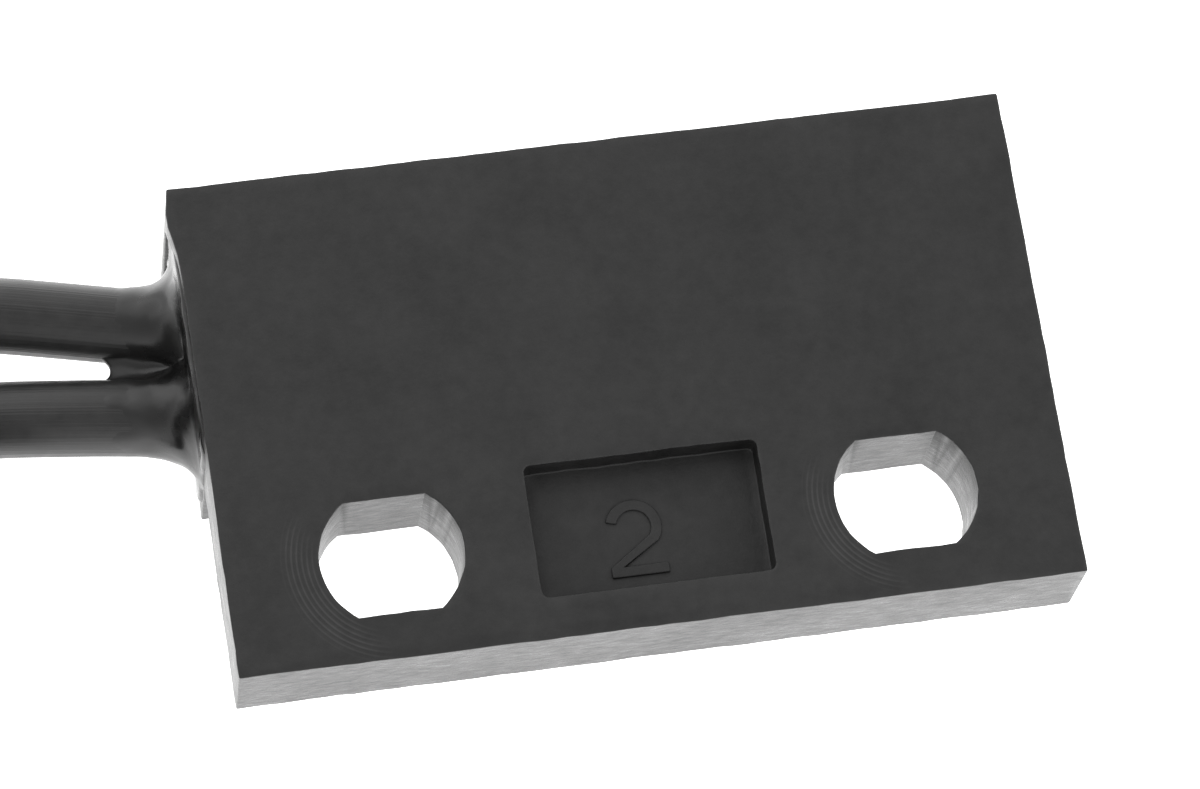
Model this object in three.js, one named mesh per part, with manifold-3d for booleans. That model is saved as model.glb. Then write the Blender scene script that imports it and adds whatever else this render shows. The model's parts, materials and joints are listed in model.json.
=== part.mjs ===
// A flange-mount magnetic door contact sensor: a moulded plastic shell that holds a reed
// switch in potting compound, with two insulated leads out of its open end.
//
// Millimetres, +Z up. The part lies on the back of its thick side, with its flat face up.
// The origin is in the middle of the shell's footprint, on the plane that it rests on.
// +X runs from the open end, where the leads come out, towards the closed end. The thick
// side that holds the switch is at +Y, and the thinner flange with the screw slots at -Y.
import * as THREE from "three";
import { mergeVertices } from "three/addons/utils/BufferGeometryUtils.js";
import Module from "manifold-3d";

const wasm = await Module();
wasm.setup();

// ---------------------------------------------------------------- driving dimensions

const CLEARANCE = 0.04; // between a potted piece and the compound round it
const FACE_GAP = 0.3; // between two lengths of one lead that meet end to end

const SHELL = { length: 23, width: 13.9, height: 5.9, body: 7.6, flange: 3 };
const WALL = { side: 0.8, face: 0.85, end: 1.2 };
const SLOT = { diameter: 3.9, flats: 3.2, pitch: 14, edge: 2.85 };
const RECESS = { length: 6.35, width: 3.7, depth: 0.8, edge: 1.15 };
const DIGIT = {
  height: 2.15,
  bowl: 0.62, // the radius of the arc's middle line
  from: -35, // degrees along the arc, from its neck to its tip
  to: 165,
  heel: -0.72,
  toe: 0.8,
  stroke: 0.34,
  raised: 0.12,
  sink: 0.1, // how far it runs down into the floor, so that the two join
  x: -0.37,
  edge: 1.65,
};

const AXIS_HEIGHT = SHELL.height / 2; // the switch and both leads lie in this plane
const LEAD = { diameter: 2.1, core: 0.62, length: 300, stripped: 6 };
const LEAD_1_Y = 3.9;
const LEAD_2_Y = 1.35;
const JACKET_1_END = -9; // how far each jacket reaches into the shell
const JACKET_2_END = 5.4;
const JACKET_OUTER_END = -12.6; // where the potted stub stops and the free lead starts
const STRAIGHT_START = -10; // the straight stretch of a potted lead starts inside its bent one
const BEND_START = -9;
const OUT_OF_SHELL = -15; // clear of the compound

const REED = { glass: 2, bore: 1.4, length: 11, seal: 1.2, neck: 0.4, cap: 0.6, lead: 0.5, x: 0.7 };
const JOINT_PITCH = 0.7; // between a reed's lead and the conductor soldered beside it
const REED_Y = LEAD_1_Y + JOINT_PITCH;
const NEAR_LEAD_END = -8.6;
const FAR_LEAD_END = 9.4;
const BLADE = { width: 0.9, thickness: 0.15, gap: 0.1, overlap: 0.8, root: 0.06, taper: 0.5 };
const SLEEVE = { diameter: 2.8, length: 10.4 };
const JOINT = { length: 2.3, width: 1.7, height: 1.15, core: 0.9 }; // core: how far it runs past the middle
const NEAR_JOINT_X = -7.5;
const FAR_JOINT_X = 8.35;

// Lead 2's conductor crosses over to the far joint, between these x and y of its middle.
const CROSSING = [
  [4, LEAD_2_Y],
  [5.7, LEAD_2_Y],
  [6.5, LEAD_2_Y + 0.75],
  [7, LEAD_1_Y - 0.6],
  [7.7, LEAD_1_Y],
  [FAR_JOINT_X + JOINT.core, LEAD_1_Y],
];
const CROSSING_OVERLAP = 0.2; // how far the straight conductor runs on into it

// The compound climbs the leads: a fillet round each, and a web between the two.
const MENISCUS = { level: 0.04, fillet: 1.05, reach: 0.37, web: 2.15, webReach: 0.24, skirt: 0.35 };
const MENISCUS_CELLS = [32, 22]; // across and up its outer face

// Both leads are wound into one round coil: lead 1 in its outer column of turns, lead 2 in
// its inner one. Each turn lies flat, and steps up onto the one below over a short stretch.
const COIL = { x: -32.4, y: -6.9, outer: 12.6, inner: 10.45, rise: 2.12, levels: 4, start: 90 };
const STEP = { first: 250, span: 60 }; // degrees of winding before the first step, and along it
const RING_SLACK = 0.05; // between the turns and the outline of the coil as one solid
const RING_BOTTOM = 0.02;
const TIE = { angle: 112, width: 2.5, thickness: 0.4, head: [3.4, 3.6, 2.2], headHeight: 3, slot: 0.1 };

// Where each lead's middle runs from the shell to the coil.
const LEAD_1_ROUTE = [
  [-11.5, 3.91, 2.95],
  [-12.6, 4.11, 2.95],
  [-13.8, 4.37, 2.95],
  [-15.1, 4.66, 2.95],
  [-16.4, 4.94, 2.93],
  [-18.2, 5.24, 2.78],
  [-20.6, 5.51, 2.3],
  [-23.2, 5.65, 1.62],
  [-26, 5.7, 1.15],
  [-29, 5.7, 1.05],
  [-32.4, 5.7, 1.05],
];
const LEAD_2_ROUTE = [
  [-11.5, 1.36, 2.95],
  [-12.6, 1.47, 2.95],
  [-14, 1.66, 2.92],
  [-15.4, 1.86, 2.8],
  [-16.8, 2.09, 2.52],
  [-18.4, 2.31, 2.06],
  [-20, 2.5, 1.6],
  [-21.6, 2.69, 1.25],
  [-23.2, 2.88, 1.08],
  [-25, 3.08, 1.05],
  [-27.5, 3.34, 1.05],
  [-30, 3.5, 1.05],
  [-32.4, 3.55, 1.05],
];

// ---------------------------------------------------------------- values worked out from them

const END_X = -SHELL.length / 2;
const BACK_Y = SHELL.width / 2;
const BODY_FRONT_Y = BACK_Y - SHELL.body;
const FLANGE_Y = -SHELL.width / 2;
const FLANGE_UNDER = SHELL.height - SHELL.flange;
const CAVITY = {
  y: BODY_FRONT_Y + SHELL.body / 2,
  width: SHELL.body - 2 * WALL.side,
  height: SHELL.height - 2 * WALL.face,
  length: SHELL.length - WALL.end,
};
const GLASS_NEAR = REED.x - REED.length / 2;
const GLASS_FAR = REED.x + REED.length / 2;

// ---------------------------------------------------------------- materials

const plastic = (color, roughness) => new THREE.MeshStandardMaterial({ color, roughness, metalness: 0 });
const metal = (color, roughness) => new THREE.MeshStandardMaterial({ color, roughness, metalness: 1 });
const shellPlastic = plastic(0x2b2b2c, 0.55);
const compound = plastic(0x18181a, 0.15);
const leadJacket = plastic(0x29292a, 0.35);
const silicone = plastic(0xb9b4aa, 0.6);
const glass = plastic(0xc3d6c6, 0.05);
glass.transparent = true;
glass.opacity = 0.35;
const nickelIron = metal(0xb9b6ad, 0.3);
const tinnedCopper = metal(0xc4c2bc, 0.35);
const solder = metal(0xa9a9a7, 0.3);
const nylon = plastic(0xe6e4dc, 0.4);

// ---------------------------------------------------------------- solids

// A geometry as a manifold-3d solid: its vertices are merged on position alone.
function solidOf(geometry) {
  const bare = new THREE.BufferGeometry();
  bare.setAttribute("position", geometry.getAttribute("position"));
  if (geometry.index) bare.setIndex(geometry.index);
  const merged = mergeVertices(bare, 1e-4);
  const vertProperties = new Float32Array(merged.attributes.position.array);
  const triVerts = new Uint32Array(merged.index.array);
  return new wasm.Manifold(new wasm.Mesh({ numProp: 3, vertProperties, triVerts }));
}

// A manifold-3d solid as a flat-shaded geometry.
function geometryOf(solid) {
  const mesh = solid.getMesh();
  const shared = new THREE.BufferGeometry();
  shared.setAttribute("position", new THREE.BufferAttribute(new Float32Array(mesh.vertProperties), 3));
  shared.setIndex(new THREE.BufferAttribute(new Uint32Array(mesh.triVerts), 1));
  const flat = shared.toNonIndexed();
  flat.computeVertexNormals();
  return flat;
}

const joined = (solids) => solids.reduce((sum, solid) => sum.add(solid));
const without = (solid, tools) => tools.reduce((left, tool) => left.subtract(tool), solid);

// An outline drawn on the XY plane, as a plate of that depth from z = 0 up.
const plate = (outline, depth, curveSegments = 12) =>
  new THREE.ExtrudeGeometry(outline, { depth, bevelEnabled: false, curveSegments });

// A box between two corners.
function box(low, high) {
  const size = high.map((h, i) => h - low[i]);
  const middle = high.map((h, i) => (h + low[i]) / 2);
  return new THREE.BoxGeometry(...size).translate(...middle);
}

// A solid of revolution about the X axis, from a profile of [x, radius] points.
function turned(profile, segments = 24) {
  const points = profile.map(([x, radius]) => new THREE.Vector2(radius, x));
  return new THREE.LatheGeometry(points, segments).rotateZ(-Math.PI / 2);
}

// A round bar about the X axis, from one x to another.
function bar(x0, x1, diameter, segments = 24) {
  const radius = diameter / 2;
  return turned([[x0, 0], [x0, radius], [x1, radius], [x1, 0]], segments);
}

// A round section swept along a curve.
function swept(curve, diameter, sides, steps) {
  const section = new THREE.Shape();
  for (let i = 0; i < sides; i++) {
    const angle = (2 * Math.PI * i) / sides;
    const point = [(diameter / 2) * Math.cos(angle), (diameter / 2) * Math.sin(angle)];
    if (i) section.lineTo(...point);
    else section.moveTo(...point);
  }
  section.closePath();
  const options = { steps, extrudePath: curve, curveSegments: 1, bevelEnabled: false };
  return new THREE.ExtrudeGeometry(section, options);
}

const curveThrough = (points) =>
  new THREE.CatmullRomCurve3(points.map((p) => new THREE.Vector3(...p)), false, "centripetal");

function piece(name, geometry, material, place = [0, 0, 0]) {
  const mesh = new THREE.Mesh(geometry, material);
  mesh.name = name;
  mesh.position.set(...place);
  return mesh;
}

// ---------------------------------------------------------------- the shell

// A round hole with two flats along X, as a bar that runs right through the flange.
function slotCutter() {
  const radius = SLOT.diameter / 2;
  const corner = Math.asin(SLOT.flats / SLOT.diameter);
  const outline = new THREE.Shape();
  outline.absarc(0, 0, radius, -corner, corner, false);
  outline.absarc(0, 0, radius, Math.PI - corner, Math.PI + corner, false);
  outline.closePath();
  const depth = 2 * SHELL.height;
  return plate(outline, depth, 14).translate(0, 0, -depth / 2);
}

// The raised cavity number 2 on the recess floor, standing on y = 0 and centred on x = 0.
function digitTwo() {
  const { bowl, stroke, sink } = DIGIT;
  const half = stroke / 2;
  const depth = DIGIT.raised + sink;
  const bowlY = DIGIT.height - half - bowl;
  const [from, to] = [DIGIT.from, DIGIT.to].map(THREE.MathUtils.degToRad);
  const ring = new THREE.Shape();
  ring.absarc(0, bowlY, bowl + half, from, to, false);
  ring.absarc(0, bowlY, bowl - half, to, from, true);
  ring.closePath();
  const dot = ([x, y]) => {
    const upright = new THREE.CylinderGeometry(half, half, depth, 16).rotateX(Math.PI / 2);
    return upright.translate(x, y, depth / 2);
  };
  const line = ([x0, y0], [x1, y1]) =>
    new THREE.BoxGeometry(Math.hypot(x1 - x0, y1 - y0), stroke, depth)
      .rotateZ(Math.atan2(y1 - y0, x1 - x0))
      .translate((x0 + x1) / 2, (y0 + y1) / 2, depth / 2);
  const tip = [bowl * Math.cos(to), bowlY + bowl * Math.sin(to)];
  const neck = [bowl * Math.cos(from), bowlY + bowl * Math.sin(from)];
  const heel = [DIGIT.heel, half];
  const toe = [DIGIT.toe, half];
  const strokes = [plate(ring, depth, 24), line(neck, heel), line(heel, toe)];
  const dots = [tip, neck, heel, toe].map(dot);
  return joined([...strokes, ...dots].map(solidOf)).translate([0, 0, -sink]);
}

function housing() {
  const { height } = SHELL;
  const body = box([END_X, BODY_FRONT_Y, 0], [-END_X, BACK_Y, height]);
  const flange = box([END_X, FLANGE_Y, FLANGE_UNDER], [-END_X, BODY_FRONT_Y + 1, height]);
  const cavity = box(
    [END_X - 1, CAVITY.y - CAVITY.width / 2, WALL.face],
    [END_X + CAVITY.length, CAVITY.y + CAVITY.width / 2, height - WALL.face],
  );
  const recessY = FLANGE_Y + RECESS.edge;
  const floor = height - RECESS.depth;
  const recess = box(
    [-RECESS.length / 2, recessY, floor],
    [RECESS.length / 2, recessY + RECESS.width, height + 1],
  );
  const slots = [-1, 1].map((side) =>
    solidOf(slotCutter().translate((side * SLOT.pitch) / 2, FLANGE_Y + SLOT.edge, height)),
  );
  const cut = without(solidOf(body).add(solidOf(flange)), [solidOf(cavity), solidOf(recess), ...slots]);
  return cut.add(digitTwo().translate([DIGIT.x, FLANGE_Y + DIGIT.edge, floor]));
}

// ---------------------------------------------------------------- the reed switch

// Everything here is built about the X axis, and the switch's own group puts it in place.
function reedGlass() {
  const radius = REED.glass / 2;
  const bore = REED.bore / 2;
  const hole = REED.lead / 2 + CLEARANCE / 2;
  const rounded = (end, inwards) =>
    [0, 20, 40, 60, 80].map((degrees) => {
      const a = THREE.MathUtils.degToRad(degrees);
      return [end + inwards * REED.cap * (1 - Math.sin(a)), hole + (radius - hole) * Math.cos(a)];
    });
  const near = rounded(GLASS_NEAR, 1).reverse();
  const far = rounded(GLASS_FAR, -1);
  const inside = [
    [GLASS_FAR, hole],
    [GLASS_FAR - REED.seal, hole],
    [GLASS_FAR - REED.seal - REED.neck, bore],
    [GLASS_NEAR + REED.seal + REED.neck, bore],
    [GLASS_NEAR + REED.seal, hole],
    [GLASS_NEAR, hole],
  ];
  const profile = [...near, ...far, ...inside];
  return turned([...profile, profile[0]], 24);
}

// The round lead of one reed, from its free end to where its flattened blade starts.
const reedLead = (outer, inner) => bar(Math.min(outer, inner), Math.max(outer, inner), REED.lead, 16);

const BLADE_NEAR_ROOT = GLASS_NEAR + REED.seal;
const BLADE_FAR_ROOT = GLASS_FAR - REED.seal;
const BLADE_LENGTH = (BLADE_FAR_ROOT - BLADE_NEAR_ROOT + BLADE.overlap) / 2 - BLADE.root;

// One flattened reed, from its root at the origin along +X, tapered out to its full width.
function reedBlade() {
  const { width, thickness, taper } = BLADE;
  const outline = new THREE.Shape();
  outline.moveTo(0, -REED.lead / 2);
  outline.lineTo(taper, -width / 2);
  outline.lineTo(BLADE_LENGTH, -width / 2);
  outline.lineTo(BLADE_LENGTH, width / 2);
  outline.lineTo(taper, width / 2);
  outline.lineTo(0, REED.lead / 2);
  outline.closePath();
  return plate(outline, thickness).translate(0, 0, -thickness / 2);
}

// A soft tube over the glass that keeps the compound's shrinkage off it.
function bufferSleeve() {
  const inner = REED.glass / 2 + CLEARANCE;
  const outer = SLEEVE.diameter / 2;
  const half = SLEEVE.length / 2;
  const profile = [[-half, inner], [-half, outer], [half, outer], [half, inner], [-half, inner]];
  return turned(profile, 24).translate(REED.x, 0, 0);
}

// ---------------------------------------------------------------- the leads inside the shell

const bentInto = (y, route) => curveThrough([[BEND_START, y, AXIS_HEIGHT], ...route.slice(0, 3)]);
const LEAD_1_POTTED = bentInto(LEAD_1_Y, LEAD_1_ROUTE);
const LEAD_2_POTTED = bentInto(LEAD_2_Y, LEAD_2_ROUTE);

// Keeps what lies on the closed end's side of x, or on the open end's side of it.
const REACH = 30; // bigger than any piece that these cut
const keepFrom = (solid, x) => solid.subtract(solidOf(box([x - REACH, -REACH, -REACH], [x, REACH, REACH])));
const keepUpTo = (solid, x) => solid.subtract(solidOf(box([x, -REACH, -REACH], [x + REACH, REACH, REACH])));

const moved = (geometry, y) => geometry.translate(0, y, AXIS_HEIGHT);

// A potted stretch of a lead: straight inside the shell, then along the free lead's route.
function pottedRun(y, from, route, diameter, sides) {
  const straight = solidOf(moved(bar(STRAIGHT_START, from, diameter, sides), y));
  const bent = solidOf(swept(route, diameter, sides, 8));
  return joined([straight, bent]);
}

const lead1Run = (diameter, sides, end) => pottedRun(LEAD_1_Y, end, LEAD_1_POTTED, diameter, sides);

function lead1Core(diameter = LEAD.core) {
  return keepFrom(lead1Run(diameter, 8, NEAR_JOINT_X + JOINT.core), JACKET_OUTER_END);
}

function lead1Jacket(diameter = LEAD.diameter, outerEnd = JACKET_OUTER_END) {
  return keepFrom(lead1Run(diameter, 16, JACKET_1_END), outerEnd);
}

// The second lead's conductor steps across behind the glass to the far end of the switch.
function lead2Core(diameter = LEAD.core) {
  const crossing = curveThrough(CROSSING.map(([x, y]) => [x, y, AXIS_HEIGHT]));
  const run = pottedRun(LEAD_2_Y, CROSSING[0][0] + CROSSING_OVERLAP, LEAD_2_POTTED, diameter, 8);
  return keepFrom(run.add(solidOf(swept(crossing, diameter, 8, 16))), JACKET_OUTER_END);
}

function lead2Jacket(diameter = LEAD.diameter, outerEnd = JACKET_OUTER_END) {
  return keepFrom(pottedRun(LEAD_2_Y, JACKET_2_END, LEAD_2_POTTED, diameter, 16), outerEnd);
}

// A solder joint: an egg of solder round the reed's lead and the conductor laid beside it.
function solderJoint(x, grown = 0) {
  const egg = new THREE.SphereGeometry(0.5, 16, 10);
  egg.scale(JOINT.length + grown, JOINT.width + grown, JOINT.height + grown);
  return solidOf(egg.translate(x, REED_Y - JOINT_PITCH / 2, AXIS_HEIGHT));
}

// ---------------------------------------------------------------- the potting compound

// How far the compound stands out of the shell's open end at a point of that end's plane.
function meniscusHeight(y, z) {
  const { level, fillet, reach, web, webReach, skirt } = MENISCUS;
  const centres = [LEAD_1_ROUTE[1][1], LEAD_2_ROUTE[1][1]];
  const radius = LEAD.diameter / 2;
  const away = centres.map((c) => Math.max(0, Math.hypot(y - c, z - AXIS_HEIGHT) - radius));
  const climb = 1 - away.reduce((left, a) => left * (1 - Math.exp(-a / reach)), 1);
  const narrowest = centres[0] - centres[1] - 2 * radius;
  const opening = Math.max(0, away[0] + away[1] - narrowest) / webReach;
  const between = Math.exp(-opening * opening);
  const fromWall = Math.min(
    CAVITY.width / 2 - Math.abs(y - CAVITY.y),
    CAVITY.height / 2 - Math.abs(z - AXIS_HEIGHT),
  );
  const held = Math.min(1, Math.max(0, fromWall) / skirt);
  return level + held * (fillet * climb + (web - fillet) * between);
}

// The compound's outer end: a closed block whose outer face follows the height above.
function meniscus() {
  const [columns, rows] = MENISCUS_CELLS;
  const [width, height] = [CAVITY.width - 2 * CLEARANCE, CAVITY.height - 2 * CLEARANCE];
  const inner = END_X + 0.5;
  const block = new THREE.BoxGeometry(width, height, 1, columns, rows, 1);
  const position = block.getAttribute("position");
  for (let i = 0; i < position.count; i++) {
    const y = CAVITY.y + position.getX(i);
    const z = AXIS_HEIGHT + position.getY(i);
    const x = position.getZ(i) < 0 ? END_X - meniscusHeight(y, z) : inner;
    position.setXYZ(i, x, y, z);
  }
  return solidOf(block);
}

function pottingCompound(buried) {
  const half = [CAVITY.width / 2 - CLEARANCE, CAVITY.height / 2 - CLEARANCE];
  const fill = box(
    [END_X + 0.4, CAVITY.y - half[0], AXIS_HEIGHT - half[1]],
    [END_X + CAVITY.length - CLEARANCE, CAVITY.y + half[0], AXIS_HEIGHT + half[1]],
  );
  return without(solidOf(fill).add(meniscus()), buried);
}

// What the compound is poured round, each piece grown by the clearance.
function buriedPieces() {
  const grown = 2 * CLEARANCE;
  const alongReed = (x0, x1, diameter, sides) =>
    solidOf(bar(x0 - CLEARANCE, x1 + CLEARANCE, diameter + grown, sides)).translate([0, REED_Y, AXIS_HEIGHT]);
  const coreEnd = NEAR_JOINT_X + JOINT.core + CLEARANCE;
  const jacketEnd = bar(JACKET_2_END - CROSSING_OVERLAP, JACKET_2_END + CLEARANCE, LEAD.diameter + grown, 16);
  return [
    alongReed(REED.x - SLEEVE.length / 2, REED.x + SLEEVE.length / 2, SLEEVE.diameter, 24),
    alongReed(GLASS_NEAR, GLASS_FAR, REED.glass, 24),
    alongReed(NEAR_LEAD_END, FAR_LEAD_END, REED.lead, 16),
    solderJoint(NEAR_JOINT_X, grown),
    solderJoint(FAR_JOINT_X, grown),
    lead1Jacket(LEAD.diameter + grown, OUT_OF_SHELL),
    lead2Jacket(LEAD.diameter + grown, OUT_OF_SHELL),
    lead1Run(LEAD.core + grown, 8, coreEnd),
    lead2Core(LEAD.core + grown),
    solidOf(moved(jacketEnd, LEAD_2_Y)),
  ];
}

// ---------------------------------------------------------------- the free leads

const RING = {
  inner: COIL.inner - LEAD.diameter / 2 - RING_SLACK,
  outer: COIL.outer + LEAD.diameter / 2 + RING_SLACK,
  bottom: RING_BOTTOM,
  height: LEAD.diameter + (COIL.levels - 1) * COIL.rise,
};
const TOP_LEVEL = LEAD.diameter + COIL.levels * COIL.rise; // the top of the turn on the ring

// How far up a lead is after that many degrees of winding.
function levelAt(wound) {
  let level = 0;
  for (let turn = 0; turn < COIL.levels; turn++) {
    const share = THREE.MathUtils.clamp((wound - STEP.first - 360 * turn) / STEP.span, 0, 1);
    level += share * share * (3 - 2 * share);
  }
  return LEAD.diameter / 2 + COIL.rise * level;
}

// A point of a lead's middle in the coil, after that many degrees of winding.
function woundPoint(radius, wound) {
  const angle = THREE.MathUtils.degToRad(COIL.start + wound);
  return [COIL.x + radius * Math.cos(angle), COIL.y + radius * Math.sin(angle), levelAt(wound)];
}

// One lead's free path: its run to the coil, and where in the winding its jacket and tip end.
function freePath(points, radius) {
  const run = curveThrough(points);
  const wound = LEAD.length - LEAD.stripped - run.getLength();
  const degrees = (length) => THREE.MathUtils.radToDeg(length / radius);
  return { run, radius, jacketEnd: degrees(wound), tipEnd: degrees(wound + LEAD.stripped) };
}

const LEAD_1 = freePath(LEAD_1_ROUTE, COIL.outer);
const LEAD_2 = freePath(LEAD_2_ROUTE, COIL.inner);

// A lead's middle in the coil, between two amounts of winding in degrees.
function woundCurve(lead, from, to, steps) {
  const points = [];
  for (let i = 0; i <= steps; i++) points.push(woundPoint(lead.radius, from + ((to - from) * i) / steps));
  return curveThrough(points);
}

// A ring about the coil's axis, of rectangular section.
function ringSolid(inner, outer, bottom, top) {
  const profile = [[inner, bottom], [outer, bottom], [outer, top], [inner, top], [inner, bottom]];
  const points = profile.map(([r, z]) => new THREE.Vector2(r, z));
  return solidOf(new THREE.LatheGeometry(points, 60).rotateX(Math.PI / 2)).translate([COIL.x, COIL.y, 0]);
}

// Where the top level of the outer column is empty, past the end of lead 1's jacket.
function emptyStretch() {
  const lastStep = 360 * (COIL.levels - 1) + STEP.first;
  const [from, to] = [LEAD_1.jacketEnd, lastStep].map((a) => THREE.MathUtils.degToRad(COIL.start + a));
  const middle = (COIL.inner + COIL.outer) / 2;
  const outline = new THREE.Shape();
  outline.absarc(0, 0, RING.outer + 1, from, to, false);
  outline.absarc(0, 0, middle, to, from, true);
  outline.closePath();
  const depth = LEAD.diameter + 1;
  return solidOf(plate(outline, depth, 16).translate(COIL.x, COIL.y, RING.height - LEAD.diameter));
}

// Turns a solid about the coil's own axis, from +X to an angle, and puts it at the coil.
const atCoil = (solid, angle) => solid.rotate([0, 0, angle]).translate([COIL.x, COIL.y, 0]);

// The tie lies across the ring, which is built here along +X: a closed strap, and its head.
function tieStrap(margin) {
  const { width, thickness } = TIE;
  const [inner, outer] = [RING.inner - FACE_GAP, RING.outer + FACE_GAP];
  const half = width / 2 + margin;
  const top = TOP_LEVEL + FACE_GAP;
  const shell = box(
    [inner - thickness - margin, -half, -margin],
    [outer + thickness + margin, half, top + thickness + margin],
  );
  const hole = box([inner + margin, -half - 1, thickness + margin], [outer - margin, half + 1, top - margin]);
  return solidOf(shell).subtract(solidOf(hole));
}

// The head stands on the strap's inner side, in the coil's open middle.
function coilTie() {
  const [length, width, height] = TIE.head;
  const inner = RING.inner - FACE_GAP - TIE.thickness;
  const head = box(
    [inner - height, -width / 2, TIE.headHeight],
    [inner + TIE.thickness / 2, width / 2, TIE.headHeight + length],
  );
  return atCoil(tieStrap(0).add(solidOf(head)), TIE.angle);
}

function leadCoil() {
  const ring = ringSolid(RING.inner, RING.outer, RING.bottom, RING.height);
  return without(ring, [emptyStretch(), atCoil(tieStrap(TIE.slot), TIE.angle)]);
}

// The biggest body of a lead's tube once the coil, grown by a gap, is taken out of it.
function clearOfCoil(tube) {
  const gap = FACE_GAP;
  const grown = ringSolid(RING.inner - gap, RING.outer + gap, -gap, RING.height + gap);
  return tube.subtract(grown).decompose().sort((a, b) => b.volume() - a.volume())[0];
}

// The first stretch of a free lead, from inside the fillet to where the coil takes it over.
function leadRun(lead) {
  const tube = solidOf(swept(lead.run, LEAD.diameter, 8, 12));
  return clearOfCoil(keepUpTo(tube, JACKET_OUTER_END - FACE_GAP));
}

// The last stretch of lead 2, which steps up and lies on top of the coil.
function leadTail(lead) {
  const lastStep = 360 * (COIL.levels - 1) + STEP.first;
  const curve = woundCurve(lead, lastStep, lead.jacketEnd, 16);
  return clearOfCoil(solidOf(swept(curve, LEAD.diameter, 8, 16)));
}

// The stripped and tinned end of a lead, lying along the turn that is under it.
function leadTip(lead) {
  const gap = THREE.MathUtils.radToDeg(FACE_GAP / lead.radius);
  return swept(woundCurve(lead, lead.jacketEnd + gap, lead.tipEnd, 4), LEAD.core, 8, 4);
}

// ---------------------------------------------------------------- the whole part

function shellGroup() {
  const group = new THREE.Group();
  group.add(
    piece("housing", geometryOf(housing()), shellPlastic),
    piece("potting_compound", geometryOf(pottingCompound(buriedPieces())), compound),
  );
  return group;
}

function switchGroup() {
  const group = new THREE.Group();
  group.position.set(0, REED_Y, AXIS_HEIGHT);
  const offset = (BLADE.gap + BLADE.thickness) / 2;
  const farRoot = [BLADE_FAR_ROOT - BLADE.root, 0, -offset];
  const farBlade = piece("reed_blade_far", reedBlade(), nickelIron, farRoot);
  farBlade.rotation.z = Math.PI;
  group.add(
    piece("reed_glass", reedGlass(), glass),
    piece("buffer_sleeve", bufferSleeve(), silicone),
    piece("reed_lead_near", reedLead(NEAR_LEAD_END, BLADE_NEAR_ROOT), nickelIron),
    piece("reed_lead_far", reedLead(FAR_LEAD_END, BLADE_FAR_ROOT), nickelIron),
    piece("reed_blade_near", reedBlade(), nickelIron, [BLADE_NEAR_ROOT + BLADE.root, 0, offset]),
    farBlade,
  );
  return group;
}

function connectionGroup() {
  const group = new THREE.Group();
  const grown = LEAD.core + CLEARANCE;
  const cores = [lead1Core(grown), lead2Core(grown)];
  const reedBar = solidOf(bar(NEAR_LEAD_END - 1, FAR_LEAD_END + 1, REED.lead + CLEARANCE, 16));
  const reed = reedBar.translate([0, REED_Y, AXIS_HEIGHT]);
  const joint = (x) => geometryOf(without(solderJoint(x), [...cores, reed]));
  group.add(
    piece("lead_1_core", geometryOf(lead1Core()), tinnedCopper),
    piece("lead_2_core", geometryOf(lead2Core()), tinnedCopper),
    piece("lead_1_jacket", geometryOf(lead1Jacket().subtract(cores[0])), leadJacket),
    piece("lead_2_jacket", geometryOf(lead2Jacket().subtract(cores[1])), leadJacket),
    piece("solder_joint_near", joint(NEAR_JOINT_X), solder),
    piece("solder_joint_far", joint(FAR_JOINT_X), solder),
  );
  return group;
}

function freeLeadGroup() {
  const group = new THREE.Group();
  group.add(
    piece("lead_coil", geometryOf(leadCoil()), leadJacket),
    piece("coil_tie", geometryOf(coilTie()), nylon),
    piece("lead_1_run", geometryOf(leadRun(LEAD_1)), leadJacket),
    piece("lead_1_tip", leadTip(LEAD_1), tinnedCopper),
    piece("lead_2_run", geometryOf(leadRun(LEAD_2)), leadJacket),
    piece("lead_2_tail", geometryOf(leadTail(LEAD_2)), leadJacket),
    piece("lead_2_tip", leadTip(LEAD_2), tinnedCopper),
  );
  return group;
}

const sensor = new THREE.Group();
sensor.add(shellGroup(), switchGroup(), connectionGroup(), freeLeadGroup());

export default sensor;
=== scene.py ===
import json
import math

import bmesh
import bpy
import numpy as np
from mathutils import Matrix, Vector, noise


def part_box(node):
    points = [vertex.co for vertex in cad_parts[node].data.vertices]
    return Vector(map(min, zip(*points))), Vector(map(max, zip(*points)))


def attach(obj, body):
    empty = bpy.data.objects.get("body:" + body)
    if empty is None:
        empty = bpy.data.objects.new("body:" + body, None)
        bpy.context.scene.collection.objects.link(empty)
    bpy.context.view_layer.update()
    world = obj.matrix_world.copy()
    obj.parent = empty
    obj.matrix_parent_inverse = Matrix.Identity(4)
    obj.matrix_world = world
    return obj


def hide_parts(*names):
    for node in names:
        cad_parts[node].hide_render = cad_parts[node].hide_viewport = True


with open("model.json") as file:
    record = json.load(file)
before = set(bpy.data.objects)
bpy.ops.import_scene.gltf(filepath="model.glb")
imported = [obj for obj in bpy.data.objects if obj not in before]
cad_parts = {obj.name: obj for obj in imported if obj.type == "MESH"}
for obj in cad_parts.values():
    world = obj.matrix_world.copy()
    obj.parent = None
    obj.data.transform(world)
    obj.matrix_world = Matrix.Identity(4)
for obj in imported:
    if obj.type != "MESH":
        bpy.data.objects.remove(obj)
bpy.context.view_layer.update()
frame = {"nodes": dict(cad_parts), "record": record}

# Lengths below are in millimetres, in the frame of the CAD model, unless a name says otherwise.
MM = 0.001
BODY = "sensor_body"

# ---------------------------------------------------------------- driving values

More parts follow.
